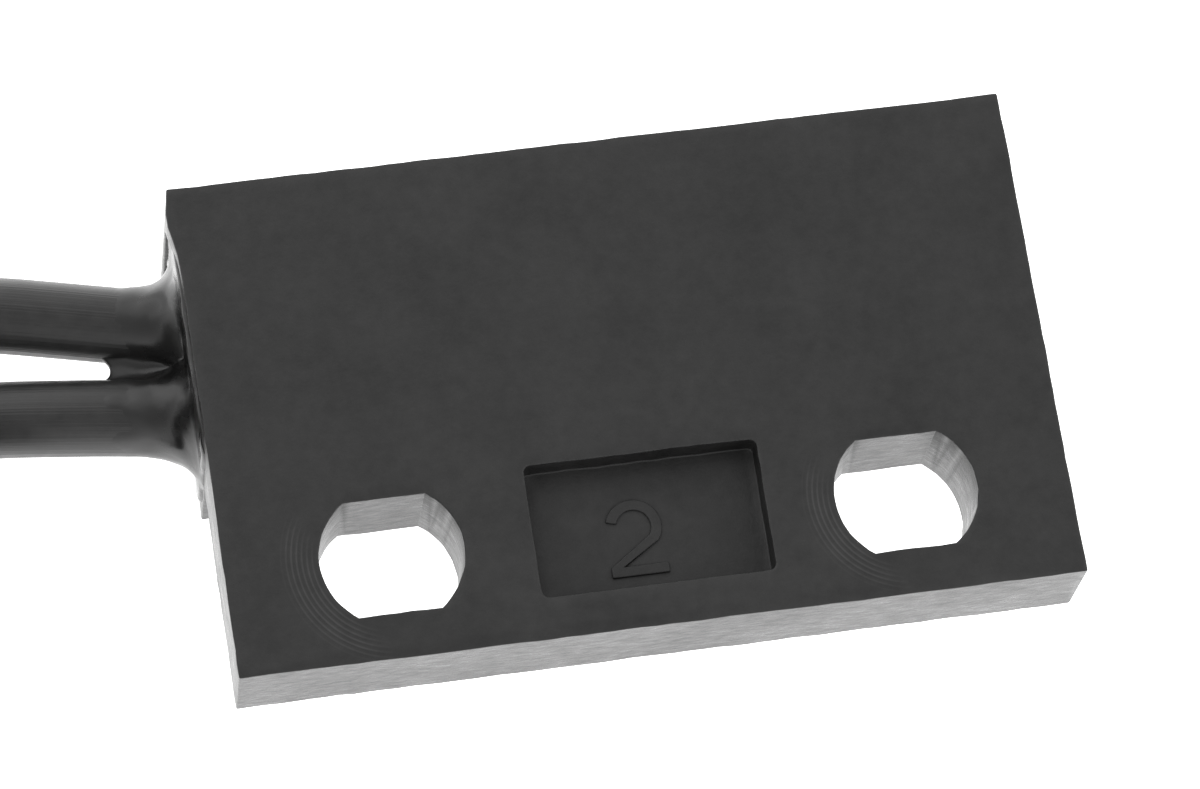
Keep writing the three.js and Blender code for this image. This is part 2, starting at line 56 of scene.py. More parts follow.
SHELL_LOW, SHELL_HIGH = (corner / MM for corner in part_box("housing"))
SHELL_HEIGHT = SHELL_HIGH.z
END_X = SHELL_LOW.x  # the plane of the open end, where the leads come out
AXIS_HEIGHT = SHELL_HEIGHT / 2
BODY_WIDTH = 7.6
BODY_FRONT_Y = SHELL_HIGH.y - BODY_WIDTH
FLANGE_UNDER = SHELL_HEIGHT - 3.0
EDGE_RADIUS = 0.045

SLOT = {"diameter": 3.9, "flats": 3.2, "pitch": 14.0, "y": SHELL_LOW.y + 2.85}
RECESS = {"length": 6.35, "width": 3.7, "depth": 0.8, "y": SHELL_LOW.y + 1.15, "corner": 0.18}
DIGIT = {"height": 2.15, "bowl": 0.62, "stroke": 0.3, "raised": 0.07, "x": -0.37, "y": SHELL_LOW.y + 1.65}
WALL_SIDE, WALL_FACE, WALL_END = 0.8, 0.85, 1.2

LEAD_DIAMETER = 2.1
LEAD_RADIUS = LEAD_DIAMETER / 2
LEAD_LENGTH = 300.0
STRIPPED = 6.0
CORD_START = 1  # the first route point that is part of the free cord

COIL_X, COIL_Y = -32.4, -6.9
COIL_RISE, COIL_LEVELS, COIL_START = 2.12, 4, 90.0
STEP_FIRST, STEP_SPAN = 250.0, 60.0  # degrees of winding before the first step up, and along it
TIE_ANGLE = 112.0
TIE_WIDTH, TIE_THICKNESS, TIE_RAIL = 2.3, 0.34, 0.32
TIE_HEAD = {"low": 3.1, "high": 6.3, "depth": 2.0, "half_width": 1.7}
TIE_SLOT = {"low": 2.6, "high": 6.9, "from": 1.15, "to": 0.55, "half_width": 1.05}
TIE_TAIL = {"low": 2.3, "high": 7.1, "from": 1.05, "to": 0.68, "half_width": 0.95}
STRAND_RADIUS, STRAND_COUNT = 0.105, 7
STRAND_LAY = 26  # steps of the path for one twist

# How far the compound's skin runs up the leads, and how it thins out on the way.
CLIMB, WEB_REACH, FILM = 2.0, 2.1, 0.1
ROOT = 0.5  # how far the skin starts inside the shell
FLARE, FLARE_LENGTH, SKIN = 0.92, 0.36, 0.06
VOXEL, RELAX_STEPS = 0.05, 14

# How far the moulding wavers, and how far the corner over the leads is pushed out.
WAVER_FINE, WAVER_BROAD = 0.02, 0.022
CORNER_BULGE, CORNER_SPREAD, CORNER_INSET = 0.2, 0.9, 0.8
MOULDING_CELL = 0.4

CAMERA = {
    "azimuth": -23.3,
    "elevation": 70.59,
    "roll": 15.2,
    "aim": (-0.79, -0.34, SHELL_HEIGHT),
    "distance": 162.15,
    "lens": 180.5,
    "sensor": 36.0,
}
FLOOR_HALF, FLOOR_HEIGHT, FLOOR_GLOW = 900, -0.02, 1.6
SKY_TOP, SKY_HORIZON = 0.54, 1.5

# The middle of each lead on its way from the shell to the coil, and its column's radius there.
ROUTES = {
    "lead_1": [
        (-11.5, 3.91, 2.95),
        (-12.6, 4.11, 2.95),
        (-13.8, 4.37, 2.95),
        (-15.1, 4.66, 2.95),
        (-16.4, 4.94, 2.93),
        (-18.2, 5.24, 2.78),
        (-20.6, 5.51, 2.3),
        (-23.2, 5.65, 1.62),
        (-26, 5.7, 1.15),
        (-29, 5.7, 1.05),
        (-32.4, 5.7, 1.05),
    ],
    "lead_2": [
        (-11.5, 1.36, 2.95),
        (-12.6, 1.47, 2.95),
        (-14, 1.66, 2.92),
        (-15.4, 1.86, 2.8),
        (-16.8, 2.09, 2.52),
        (-18.4, 2.31, 2.06),
        (-20, 2.5, 1.6),
        (-21.6, 2.69, 1.25),
        (-23.2, 2.88, 1.08),
        (-25, 3.08, 1.05),
        (-27.5, 3.34, 1.05),
        (-30, 3.5, 1.05),
        (-32.4, 3.55, 1.05),
    ],
}
COIL_RADII = {"lead_1": 12.6, "lead_2": 10.45}
SOLIDS = {"lead_1": ["lead_1_run", "lead_coil"], "lead_2": ["lead_2_run", "lead_2_tail"]}

# ---------------------------------------------------------------- camera


def make_camera():
    """Looks down on the flat face from near the flange, turned a little round its own axis."""
    azimuth, elevation, roll = (math.radians(CAMERA[key]) for key in ("azimuth", "elevation", "roll"))
    turn = (
        Matrix.Rotation(azimuth, 4, "Z")
        @ Matrix.Rotation(math.pi / 2 - elevation, 4, "X")
        @ Matrix.Rotation(roll, 4, "Z")
    )
    data = bpy.data.cameras.new("camera")
    data.lens, data.sensor_width = CAMERA["lens"], CAMERA["sensor"]
    data.clip_start, data.clip_end = 0.01, 10.0
    camera = bpy.data.objects.new("camera", data)
    bpy.context.collection.objects.link(camera)
    place = Vector(CAMERA["aim"]) + turn.col[2].to_3d() * CAMERA["distance"]
    camera.matrix_world = Matrix.Translation(place * MM) @ turn
    bpy.context.scene.camera = camera


# ---------------------------------------------------------------- helpers for shapes


def new_object(name, mesh):
    thing = bpy.data.objects.new(name, mesh)
    bpy.context.collection.objects.link(thing)
    return thing


def mesh_from(name, points, faces, smooth=True):
    """A mesh from points in millimetres."""
    mesh = bpy.data.meshes.new(name)
    mesh.from_pydata([Vector(p) * MM for p in points], [], faces)
    mesh.polygons.foreach_set("use_smooth", [smooth] * len(mesh.polygons))
    mesh.update()
    return mesh


def apply_modifiers(thing):
    bpy.context.view_layer.update()
    graph = bpy.context.evaluated_depsgraph_get()
    mesh = bpy.data.meshes.new_from_object(thing.evaluated_get(graph))
    thing.modifiers.clear()
    thing.data = mesh


def boolean(thing, other, operation="DIFFERENCE"):
    """Cuts the other object out of this one, or joins it on, and deletes the other."""
    modifier = thing.modifiers.new("boolean", "BOOLEAN")
    modifier.operation, modifier.solver, modifier.object = operation, "EXACT", other
    apply_modifiers(thing)
    bpy.data.objects.remove(other)


def finish_piece(thing, material, body=BODY, replaces=()):
    thing.data.materials.clear()
    thing.data.materials.append(material)
    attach(thing, body)
    if replaces:
        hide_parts(*replaces)
    return thing


def arc(x, y, radius, start, end, steps):
    angles = np.radians(np.linspace(start, end, steps + 1))
    return [(x + radius * math.cos(a), y + radius * math.sin(a)) for a in angles]


def prism(name, outline, low, high, axis="Z"):
    """An outline of (a, b) pairs carried from low to high along Z, or along X as (y, z)."""
    put = (lambda a, b, c: (a, b, c)) if axis == "Z" else (lambda a, b, c: (c, a, b))
    count = len(outline)
    points = [put(a, b, level) for level in (low, high) for a, b in outline]
    faces = [tuple(range(count))[::-1], tuple(range(count, 2 * count))]
    faces += [(i, (i + 1) % count, count + (i + 1) % count, count + i) for i in range(count)]
    return new_object(name, mesh_from(name, points, faces, smooth=False))


def rounded_rectangle(x0, y0, x1, y1, radius, steps=5):
    corners = ((x1 - radius, y0 + radius, 270), (x1 - radius, y1 - radius, 0))
    corners += ((x0 + radius, y1 - radius, 90), (x0 + radius, y0 + radius, 180))
    return [p for x, y, start in corners for p in arc(x, y, radius, start, start + 90, steps)]


def dense_curve(points, spacing=0.35):
    """Even points along the centripetal Catmull-Rom curve through the given ones."""
    points = np.array(points, float)
    padded = np.vstack([2 * points[0] - points[1], points, 2 * points[-1] - points[-2]])
    out = []
    for p0, p1, p2, p3 in zip(padded, padded[1:], padded[2:], padded[3:]):
        knots = [0.0]
        for a, b in ((p0, p1), (p1, p2), (p2, p3)):
            knots.append(knots[-1] + math.sqrt(np.linalg.norm(b - a)))
        t0, t1, t2, t3 = knots
        for t in np.linspace(t1, t2, 24, endpoint=False):
            a1 = (t1 - t) / (t1 - t0) * p0 + (t - t0) / (t1 - t0) * p1
            a2 = (t2 - t) / (t2 - t1) * p1 + (t - t1) / (t2 - t1) * p2
            a3 = (t3 - t) / (t3 - t2) * p2 + (t - t2) / (t3 - t2) * p3
            b1 = (t2 - t) / (t2 - t0) * a1 + (t - t0) / (t2 - t0) * a2
            b2 = (t3 - t) / (t3 - t1) * a2 + (t - t1) / (t3 - t1) * a3
            out.append((t2 - t) / (t2 - t1) * b1 + (t - t1) / (t2 - t1) * b2)
    out.append(points[-1])
    return evenly(np.array(out), spacing)


def evenly(points, spacing):
    lengths = np.concatenate([[0], np.cumsum(np.linalg.norm(np.diff(points, axis=0), axis=1))])
    wanted = np.linspace(0, lengths[-1], max(2, round(lengths[-1] / spacing) + 1))
    return np.stack([np.interp(wanted, lengths, points[:, i]) for i in range(3)], axis=1)


def path_length(points):
    return float(np.linalg.norm(np.diff(points, axis=0), axis=1).sum())


def tube(name, points, radius, sides=28, seed=0.0):
    """A round tube along points, with closed ends, faint die lines, and a UV map: U goes
    round the tube once, and V is the distance along it in millimetres."""
    points = [Vector(p) for p in points]
    tangents = [(b - a).normalized() for a, b in zip(points, points[1:])]
    tangents.append(tangents[-1])
    side = tangents[0].orthogonal().normalized()
    rings = []
    for point, tangent in zip(points, tangents):
        side = (side - tangent * side.dot(tangent)).normalized()
        other = tangent.cross(side)
        ring = []
        for k in range(sides):
            a = 2 * math.pi * k / sides
            around = Vector((math.cos(a) * 3, math.sin(a) * 3, point.length * 0.03 + seed))
            r = radius * (1 + 0.006 * noise.noise(around))
            ring.append(point + (side * math.cos(a) + other * math.sin(a)) * r)
        rings.append(ring)
    vertices = [v for ring in rings for v in ring] + [points[0], points[-1]]
    first, last = len(vertices) - 2, len(vertices) - 1
    faces = []
    for i in range(len(rings) - 1):
        for k in range(sides):
            a, b = i * sides + k, i * sides + (k + 1) % sides
            faces.append((a, b, b + sides, a + sides))
    end = (len(rings) - 1) * sides
    faces += [(first, (k + 1) % sides, k) for k in range(sides)]
    faces += [(last, end + k, end + (k + 1) % sides) for k in range(sides)]
    mesh = mesh_from(name, vertices, faces)
    along = np.concatenate([[0], np.cumsum([(b - a).length for a, b in zip(points, points[1:])])])
    uv = mesh.uv_layers.new(name="UVMap").data
    for polygon in mesh.polygons:
        ring_sides = [mesh.loops[l].vertex_index % sides for l in polygon.loop_indices]
        wraps = max(ring_sides) - min(ring_sides) > sides / 2
        for loop, k in zip(polygon.loop_indices, ring_sides):
            vertex = mesh.loops[loop].vertex_index
            row = min(vertex // sides, len(along) - 1)
            uv[loop].uv = ((k + sides if wraps and k < sides / 2 else k) / sides, along[row])
    return new_object(name, mesh)


# ---------------------------------------------------------------- helpers for materials


class Material:
    """A node material, whose nodes are added by short calls."""

    def __init__(self, name):
        self.material = bpy.data.materials.new(name)
        self.material.use_nodes = True
        self.tree = self.material.node_tree
        self.tree.nodes.clear()

    def add(self, kind, inputs=None, output=0, **settings):
        node = self.tree.nodes.new(kind)
        for key, value in settings.items():
            setattr(node, key, value)
        for key, value in (inputs or {}).items():
            if isinstance(value, bpy.types.NodeSocket):
                self.tree.links.new(value, node.inputs[key])
            else:
                node.inputs[key].default_value = value
        return node.outputs[output] if node.outputs else None

    def place(self, scale=(1, 1, 1)):
        """The row frame's coordinates, in millimetres, stretched by the scale."""
        where = self.add("ShaderNodeTexCoord", output=3)
        size = [s / MM for s in scale]
        return self.add("ShaderNodeMapping", {"Vector": where, "Scale": size})

    def noise(self, vector, scale, detail=2.0, roughness=0.5):
        values = {"Vector": vector, "Scale": scale, "Detail": detail, "Roughness": roughness}
        return self.add("ShaderNodeTexNoise", values)

    def math(self, operation, a, b=0.0):
        return self.add("ShaderNodeMath", {0: a, 1: b}, operation=operation)

    def spread(self, value, low, high, to_low, to_high):
        """Maps a value from one range to another, and holds it within the second."""
        values = {"Value": value, "From Min": low, "From Max": high, "To Min": to_low, "To Max": to_high}
        return self.add("ShaderNodeMapRange", values)

    def colours(self, value, stops):
        ramp = self.tree.nodes.new("ShaderNodeValToRGB")
        elements = ramp.color_ramp.elements
        while len(elements) < len(stops):
            elements.new(0.5)
        for element, (position, colour) in zip(elements, stops):
            element.position, element.color = position, (*colour, 1)
        self.tree.links.new(value, ramp.inputs[0])
        return ramp.outputs[0]

    def bump(self, height, depth, normal=None):
        """A bump of that depth in millimetres."""
        values = {"Height": height, "Distance": depth * MM, "Strength": 1.0}
        if normal is not None:
            values["Normal"] = normal
        return self.add("ShaderNodeBump", values)

    def surface(self, values):
        shader = self.add("ShaderNodeBsdfPrincipled", values)
        self.add("ShaderNodeOutputMaterial", {"Surface": shader})
        return self.material


def grey(level, warmth=0.0):
    return (level * (1 + warmth), level, level * (1 - warmth))


def pin_rings(m, axes, side, reach):
    """Ripples, -1 to 1, round one slot: they start at its edge and fade out at that radius."""
    start, period = 2.1, 0.14
    dx = m.math("SUBTRACT", axes[0], side * SLOT["pitch"] / 2)
    dy = m.math("SUBTRACT", axes[1], SLOT["y"])
    radius = m.math("SQRT", m.math("ADD", m.math("MULTIPLY", dx, dx), m.math("MULTIPLY", dy, dy)))
    wave = m.math("SINE", m.math("MULTIPLY", radius, 2 * math.pi / period))
    started, ended = m.spread(radius, start - 0.1, start, 0, 1), m.spread(radius, reach, reach + 0.3, 1, 0)
    # Only on the side that is towards the flange's near corner, where the ripples catch the light; there the
    # colour also gets a painted highlight on their crests.
    towards = m.spread(m.math("ADD", dx, m.math("MULTIPLY", dy, 0.5)), -2.35, -1.6, 1, 0)
    return m.math("MULTIPLY", wave, m.math("MULTIPLY", m.math("MULTIPLY", started, ended), towards))


def shell_plastic():
    m = Material("shell_plastic")
    where = m.place()
    broad = m.noise(where, 0.35, 4)
    grain = m.noise(where, 9, 4, 0.6)
    fine = m.noise(where, 34, 3, 0.6)
    # A moulded side wall has a fine grain of short dashes along the parting line.
    normal = m.add("ShaderNodeSeparateXYZ", {0: m.add("ShaderNodeNewGeometry", output=1)}, output=2)
    upright = m.spread(m.math("ABSOLUTE", normal), 0.3, 0.75, 1, 0)
    lines = m.noise(m.place((1.6, 1.6, 5)), 1, 5, 0.65)
    # Faint rings spread from each slot, where the plastic flowed round the mould's pins; they are bumps, and
    # their crests also carry a painted highlight in the colour.
    axes = m.add("ShaderNodeSeparateXYZ", {0: where}).node.outputs
    rings = m.math("ADD", pin_rings(m, axes, -1, 2.75), pin_rings(m, axes, 1, 2.6))
    rings = m.math("MULTIPLY", rings, m.math("SUBTRACT", 1.0, upright))
    # The ring crests lighten the colour: a painted highlight where the ripples catch the light.
    painted_crest_highlight = m.math("MULTIPLY", m.math("MAXIMUM", rings, 0.0), 0.4)
    cloudy = m.spread(broad, 0.2, 0.8, 0, 0.35)
    mottled = m.spread(m.noise(where, 2.6, 6, 0.65), 0.2, 0.8, 0, 0.3)
    stops = [(0.15, grey(0.003)), (0.5, grey(0.017, 0.01)), (0.9, grey(0.04))]
    colour = m.colours(m.math("ADD", m.math("ADD", cloudy, mottled), painted_crest_highlight), stops)
    patches = m.spread(broad, 0.3, 0.7, 0.5, 0.6)
    satin = m.math("ADD", patches, m.spread(fine, 0.3, 0.7, -0.05, 0.05))
    rough = m.math("SUBTRACT", satin, m.math("MULTIPLY", upright, m.spread(lines, 0.35, 0.65, 0.12, 0.25)))
    bumped = m.bump(grain, 0.009)
    bumped = m.bump(fine, 0.0022, bumped)
    bumped = m.bump(rings, 0.0028, bumped)
    bumped = m.bump(m.math("MULTIPLY", lines, upright), 0.012, bumped)
    return m.surface({"Base Color": colour, "Roughness": rough, "IOR": 1.54, "Normal": bumped})


def potting_resin():
    m = Material("potting_resin")
    where = m.place()
    cloud = m.noise(where, 1.1, 4)
    ripple = m.noise(where, 2.2, 2, 0.4)
    dust = m.noise(where, 24, 2)
    # The skin thins out along the leads, and takes their look where it ends.
    along = m.add("ShaderNodeSeparateXYZ", {0: where})
    wavy = m.math("ADD", along, m.spread(cloud, 0.3, 0.7, -0.3, 0.3))
    thin = m.spread(wavy, END_X - 1.9, END_X - 0.7, 1, 0)
    shade = m.math("ADD", m.spread(cloud, 0.35, 0.65, 0, 0.4), m.math("MULTIPLY", thin, 0.6))
    colour = m.colours(shade, [(0.0, grey(0.006)), (0.4, grey(0.012, 0.02)), (0.95, grey(0.021))])
    rough = m.math("ADD", m.spread(cloud, 0.4, 0.6, 0.2, 0.32), m.math("MULTIPLY", thin, 0.14))
    bumped = m.bump(ripple, 0.012)
    bumped = m.bump(dust, 0.0012, bumped)
    return m.surface({"Base Color": colour, "Roughness": rough, "IOR": 1.53, "Normal": bumped})


def lead_pvc():
    m = Material("lead_pvc")
    uv = m.add("ShaderNodeTexCoord", output=2)
    lines = m.noise(m.add("ShaderNodeMapping", {"Vector": uv, "Scale": (78, 0.05, 1)}), 1, 3, 0.6)
    where = m.place()
    mottle = m.noise(where, 2.2, 4)
    grain = m.noise(where, 26, 3, 0.6)
    colour = m.colours(mottle, [(0.3, grey(0.017)), (0.7, grey(0.026, 0.01))])
    rough = m.math("ADD", m.spread(mottle, 0.3, 0.7, 0.34, 0.44), m.spread(lines, 0.3, 0.7, -0.08, 0.1))
    bumped = m.bump(lines, 0.016)
    bumped = m.bump(grain, 0.0022, bumped)
    return m.surface({"Base Color": colour, "Roughness": rough, "IOR": 1.52, "Normal": bumped})


def metal(name, dark, light, roughness, stretch=(1, 1, 1), scratch=0.0012):
    m = Material(name)
    streaks = m.noise(m.place(stretch), 3, 4, 0.6)
    spots = m.noise(m.place(), 7, 3)
    colour = m.colours(spots, [(0.3, dark), (0.7, light)])
    rough = m.spread(streaks, 0.3, 0.7, roughness - 0.08, roughness + 0.1)
    values = {"Base Color": colour, "Roughness": rough, "Metallic": 1.0}
    return m.surface({**values, "Normal": m.bump(streaks, scratch)})


def switch_glass():
    m = Material("switch_glass")
    where = m.place()
    tint = m.colours(m.noise(where, 0.8, 3), [(0.3, (0.78, 0.9, 0.8)), (0.7, (0.86, 0.94, 0.88))])
    draw = m.noise(m.place((0.3, 2, 2)), 1.5, 2)
    values = {"Base Color": tint, "Roughness": m.spread(draw, 0.3, 0.7, 0.01, 0.06)}
    return m.surface({**values, "IOR": 1.5, "Transmission Weight": 1.0, "Normal": m.bump(draw, 0.008)})


def soft_polymer(name, dark, light, roughness, grain=16, depth=0.003, subsurface=0.0):
    m = Material(name)
    where = m.place()
    cloud = m.noise(where, 0.8, 4)
    fine = m.noise(where, grain, 3, 0.6)
    colour = m.colours(cloud, [(0.3, dark), (0.7, light)])
    rough = m.spread(fine, 0.3, 0.7, roughness - 0.06, roughness + 0.08)
    values = {"Base Color": colour, "Roughness": rough, "IOR": 1.5, "Normal": m.bump(fine, depth)}
    if subsurface:
        values.update({"Subsurface Weight": subsurface, "Subsurface Scale": 0.4 * MM})
    return m.surface(values)


MATERIALS = {
    "shell_plastic": shell_plastic(),
    "potting_resin": potting_resin(),
    "lead_pvc": lead_pvc(),
    "switch_glass": switch_glass(),
    "silicone": soft_polymer("silicone", (0.46, 0.44, 0.4), (0.54, 0.52, 0.47), 0.55),
    "nickel_iron": metal("nickel_iron", (0.52, 0.5, 0.46), (0.66, 0.64, 0.59), 0.28, (0.2, 6, 6)),
    "tinned_copper": metal("tinned_copper", (0.6, 0.58, 0.55), (0.76, 0.74, 0.71), 0.3, (0.3, 5, 5)),
    "solder": metal("solder", (0.48, 0.48, 0.47), (0.66, 0.66, 0.66), 0.24, scratch=0.004),
    "tie_nylon": soft_polymer("tie_nylon", (0.66, 0.63, 0.55), (0.76, 0.74, 0.67), 0.38, subsurface=0.25),
}

# ---------------------------------------------------------------- leads


def coil_point(radius, wound):
    """A point of the coil after that many degrees of winding. Each turn steps up onto the one
    below, and all of them ride up over the tie that passes under the coil."""
    level = 0.0
    for turn in range(COIL_LEVELS):
        share = min(1, max(0, (wound - STEP_FIRST - 360 * turn) / STEP_SPAN))
        level += share * share * (3 - 2 * share)
    angle = math.radians(COIL_START + wound)
    off = (angle - math.radians(TIE_ANGLE) + math.pi) % (2 * math.pi) - math.pi
    lift = TIE_THICKNESS * math.exp(-((off * radius / 3.4) ** 2))
    height = LEAD_RADIUS + COIL_RISE * level + lift
    return (COIL_X + radius * math.cos(angle), COIL_Y + radius * math.sin(angle), height)


def lead_paths(route, radius):
    """The middle of one lead's jacket, from the compound to its end, and of its bare tip."""
    run = dense_curve(route)
    jacket = (LEAD_LENGTH - STRIPPED - path_length(run)) / radius
    tip = jacket + STRIPPED / radius
    blend = 3.0  # the run's end eases onto the coil's first stretch over this many millimetres
    ease = np.clip((run[:, 0] - COIL_X) / blend, 0, 1)
    run[:, 2] += (1 - ease) * (coil_point(radius, 0)[2] - LEAD_RADIUS)
    wound = [coil_point(radius, math.degrees(a)) for a in np.linspace(0, tip, 1400)[1:]]
    whole = evenly(np.vstack([run, wound]), 0.3)
    start = np.array(route[CORD_START])
    first = int(np.argmin(np.linalg.norm(whole - start, axis=1)))
    last = len(whole) - round(STRIPPED / 0.3)
    return whole[first:last], whole[last - 1 :]


def strands(name, path):
    """The stripped end of a lead: seven tinned strands, twisted, in line with its jacket."""
    merged = bmesh.new()
    along = [(Vector(b) - Vector(a)).normalized() for a, b in zip(path, path[1:])]
    for k in range(STRAND_COUNT):
        ring = 0.0 if k == 0 else 2.02 * STRAND_RADIUS
        line = []
        count = len(along) - k % 3
        for i in range(count):
            side = along[i].cross(Vector((0, 0, 1))).normalized()
            turn = 2 * math.pi * (k / (STRAND_COUNT - 1) + i / STRAND_LAY)
            out = side * math.cos(turn) + side.cross(along[i]) * math.sin(turn)
            line.append(Vector(path[i]) + out * ring)
        strand = tube(f"{name}_{k}", dense_curve(line, 0.15), STRAND_RADIUS, sides=10, seed=k)
        merged.from_mesh(strand.data)
        bpy.data.objects.remove(strand)
    mesh = bpy.data.meshes.new(name)
    merged.to_mesh(mesh)
    merged.free()
    return new_object(name, mesh)


def tie_loop(margin):
    """The tie's line round the bundle of turns, as (radius, height): a taut loop round circles."""
    centres = [(COIL_RADII["lead_1"], LEAD_RADIUS + COIL_RISE * k) for k in range(COIL_LEVELS)]
    centres += [(COIL_RADII["lead_2"], LEAD_RADIUS + COIL_RISE * k) for k in range(COIL_LEVELS + 1)]
    centres = np.array(centres) + (0, TIE_THICKNESS)
    line = []
    for angle in np.linspace(0, 2 * math.pi, 180, endpoint=False):
        way = np.array([math.cos(angle), math.sin(angle)])
        line.append(centres[np.argmax(centres @ way)] + way * (LEAD_RADIUS + margin))
    line = np.array([(r, max(z, TIE_THICKNESS / 2), 0) for r, z in line])
    return evenly(np.vstack([line, line[:1]]), 0.25)[:-1, :2]


def tie_strap():
    """The ribbed strap, drawn taut round the bundle of turns."""
    middle = tie_loop(TIE_THICKNESS / 2)
    count = len(middle)
    half, rail, thick = TIE_WIDTH / 2, TIE_RAIL, TIE_THICKNESS / 2
    points, faces = [], []
    for i, (r, z) in enumerate(middle):
        before, after = middle[i - 1], middle[(i + 1) % count]
        way = (after - before) / np.linalg.norm(after - before)
        out = np.array([way[1], -way[0]])
        tooth = 0.1 * (i % 3 == 0)
        section = [(-half, -thick), (half, -thick), (half, thick), (half - rail, thick)]
        section += [(half - rail - 0.1, thick - 0.08 - tooth), (rail + 0.1 - half, thick - 0.08 - tooth)]
        section += [(rail - half, thick), (-half, thick)]
        points += [(r + out[0] * t, w, z + out[1] * t) for w, t in section]
    size = len(section)
    for i in range(count):
        a, b = i * size, ((i + 1) % count) * size
        faces += [(a + k, a + (k + 1) % size, b + (k + 1) % size, b + k) for k in range(size)]
    return new_object("tie_strap", mesh_from("tie_strap", points, faces))


def tie_bar(name, inner, bar):
    """A bar that stands up inside the bundle, such as the tie's cut tail."""
    outline = rounded_rectangle(inner - bar["from"], bar["low"], inner - bar["to"], bar["high"], 0.1)
    return prism(name, outline, -bar["half_width"], bar["half_width"])


def make_tie():
    """A cable tie: its strap, its head with the slot, and its cut tail."""
    strap = tie_strap()
    inner = COIL_RADII["lead_2"] - LEAD_RADIUS - TIE_THICKNESS
    block = (inner - TIE_HEAD["depth"], TIE_HEAD["low"], inner + 0.12, TIE_HEAD["high"])
    head = prism("tie_head", rounded_rectangle(*block, 0.5), -TIE_HEAD["half_width"], TIE_HEAD["half_width"])
    boolean(head, tie_bar("tie_slot", inner, TIE_SLOT))
    tail = tie_bar("tie_tail", inner, TIE_TAIL)
    for part in (head, tail):
        # The outline is drawn in X and Y, and stands up into X and Z.
        part.data.transform(Matrix.Rotation(math.pi / 2, 4, "X"))
    ease = head.modifiers.new("ease", "BEVEL")
    ease.width, ease.segments, ease.limit_method = 0.14 * MM, 3, "ANGLE"
    apply_modifiers(head)
    boolean(strap, head, "UNION")
    boolean(strap, tail, "UNION")
    turn = Matrix.Rotation(math.radians(TIE_ANGLE), 4, "Z")
    strap.data.transform(Matrix.Translation(Vector((COIL_X, COIL_Y, 0)) * MM) @ turn)
    strap.name = "cable_tie"
    return finish_piece(strap, MATERIALS["tie_nylon"], replaces=["coil_tie"])


def make_leads():
    tie = make_tie()
    for name, route in ROUTES.items():
        jacket, bare = lead_paths(route, COIL_RADII[name])
        cord = tube(f"{name}_cord", jacket, LEAD_RADIUS, seed=len(jacket))
        finish_piece(cord, MATERIALS["lead_pvc"], replaces=SOLIDS[name])
        tip = strands(f"{name}_strands", bare)
        finish_piece(tip, MATERIALS["tinned_copper"], replaces=[f"{name}_tip"])


make_camera()
make_leads()

# ---------------------------------------------------------------- floor and light


def make_floor():
    """A pale sheet, evenly lit from below as on a light table, so that what lies on it is
    seen against white and its upright sides mirror white."""
    half = FLOOR_HALF
    corners = [(x, y, FLOOR_HEIGHT) for x, y in ((-half, -half), (half, -half), (half, half), (-half, half))]
    floor = new_object("floor", mesh_from("floor", corners, [(0, 1, 2, 3)]))
    m = Material("floor")
    tone = m.colours(m.noise(m.place(), 0.02, 3), [(0.3, grey(0.84)), (0.7, grey(0.87))])
    values = {"Base Color": tone, "Roughness": 0.8, "Emission Color": (1, 1, 1, 1)}
    floor.data.materials.append(m.surface({**values, "Emission Strength": FLOOR_GLOW}))


def make_sky():
    """A soft white tent: dimmer overhead than at the horizon."""
    world = bpy.data.worlds.new("studio")
    bpy.context.scene.world = world
    world.use_nodes = True
    nodes, links = world.node_tree.nodes, world.node_tree.links
    nodes["Background"].inputs["Color"].default_value = (1, 1, 1, 1)
    where = nodes.new("ShaderNodeTexCoord")
    split = nodes.new("ShaderNodeSeparateXYZ")
    ramp = nodes.new("ShaderNodeMapRange")
    ramp.inputs["From Min"].default_value, ramp.inputs["From Max"].default_value = 0.25, 0.85
    ramp.inputs["To Min"].default_value, ramp.inputs["To Max"].default_value = SKY_HORIZON, SKY_TOP
    links.new(where.outputs["Generated"], split.inputs[0])
    links.new(split.outputs[2], ramp.inputs["Value"])
    links.new(ramp.outputs[0], nodes["Background"].inputs["Strength"])


def make_light(name, place, size, watts):
    """A square soft box that faces the object."""
    data = bpy.data.lights.new(name, "AREA")
    data.energy, data.size = watts, size * MM
    light = bpy.data.objects.new(name, data)
    bpy.context.collection.objects.link(light)
    turn = Vector(place).to_track_quat("Z", "Y").to_matrix().to_4x4()
    light.matrix_world = Matrix.Translation(Vector(place) * MM) @ turn


make_floor()
make_sky()
make_light("key", (-120, 200, 260), 320, 0.25)
make_light("fill", (220, -120, 200), 300, 0.15)
bpy.context.scene.view_settings.view_transform = "Standard"

# ---------------------------------------------------------------- the shell

# Without a seed, noise_vector starts from another offset in every run.
noise.seed_set(5)


def slot_outline(x, y):
    corner = math.degrees(math.asin(SLOT["flats"] / SLOT["diameter"]))
    radius = SLOT["diameter"] / 2
    return arc(x, y, radius, -corner, corner, 22) + arc(x, y, radius, 180 - corner, 180 + corner, 22)


def cut_into_cells(mesh, cell):
    """Divides a mesh along X and Y into cells of that size, so that it can be worked on."""
    work = bmesh.new()
    work.from_mesh(mesh)
    for axis in (0, 1):
        low, high = SHELL_LOW[axis], SHELL_HIGH[axis]
        for at in np.arange(low + cell, high, cell):
            where, normal = Vector(), Vector()
            where[axis], normal[axis] = at * MM, 1
            everything = work.verts[:] + work.edges[:] + work.faces[:]
            bmesh.ops.bisect_plane(work, geom=everything, dist=1e-7, plane_co=where, plane_no=normal)
    work.to_mesh(mesh)
    work.free()


